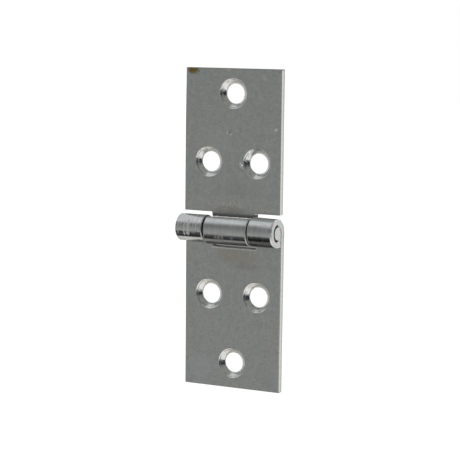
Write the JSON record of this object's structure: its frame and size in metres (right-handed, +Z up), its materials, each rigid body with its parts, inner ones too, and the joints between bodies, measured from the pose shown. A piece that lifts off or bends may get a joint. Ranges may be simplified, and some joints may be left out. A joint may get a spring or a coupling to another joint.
{
  "type": "table hinge",
  "caption": "Straight rolled-knuckle table hinge: two flat steel leaves with countersunk screw holes turn on a peened pin.",
  "frame": {"origin": "middle of the hinge pin, on its axis", "axes": "+X along the pin, +Y out of the leaves' flat backs, +Z up along the upper leaf; the barrel and the countersinks face -Y"},
  "size_m": [0.0307, 0.008, 0.09],
  "materials": {
    "leaf_steel": "satin zinc plate over rolled sheet, lightly scratched",
    "pin_steel": "bright zinc plate, peened ends"
  },
  "bodies": {
    "upper_leaf": {"upper_leaf": "leaf_steel"},
    "lower_leaf": {"lower_leaf": "leaf_steel", "hinge_pin": "pin_steel"}
  },
  "joints": [
    {"name": "fold", "type": "hinge", "parent": "upper_leaf", "child": "lower_leaf", "pos_m": [0, 0, 0], "axis": [-1, 0, 0], "range_deg": [-95, 185]}
  ]
}
